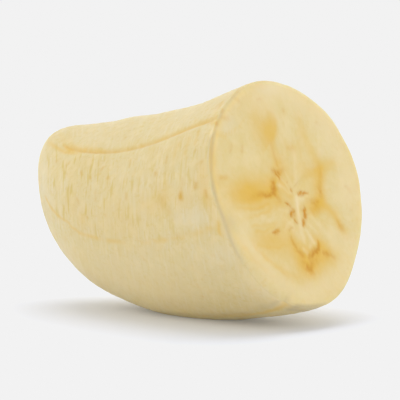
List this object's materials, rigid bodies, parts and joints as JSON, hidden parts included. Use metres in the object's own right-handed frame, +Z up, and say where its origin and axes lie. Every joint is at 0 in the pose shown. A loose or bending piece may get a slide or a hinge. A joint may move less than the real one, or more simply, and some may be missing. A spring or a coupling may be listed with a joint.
{
  "type": "peeled banana piece",
  "caption": "Blunt end of a peeled banana, cut straight across, lying on its belly with the pale round cut face tilted up at one end.",
  "frame": {"origin": "middle of the bounding box, at the height of the surface it lies on", "axes": "+X towards the cut face, which is the raised end; -X towards the blunt blossom end; +Z up; +Y across"},
  "size_m": [0.0574, 0.036, 0.036],
  "materials": {
    "flesh": "moist, softly matt fruit flesh, pale cream yellow"
  },
  "bodies": {
    "root": {"banana_flesh": "flesh"}
  },
  "joints": []
}
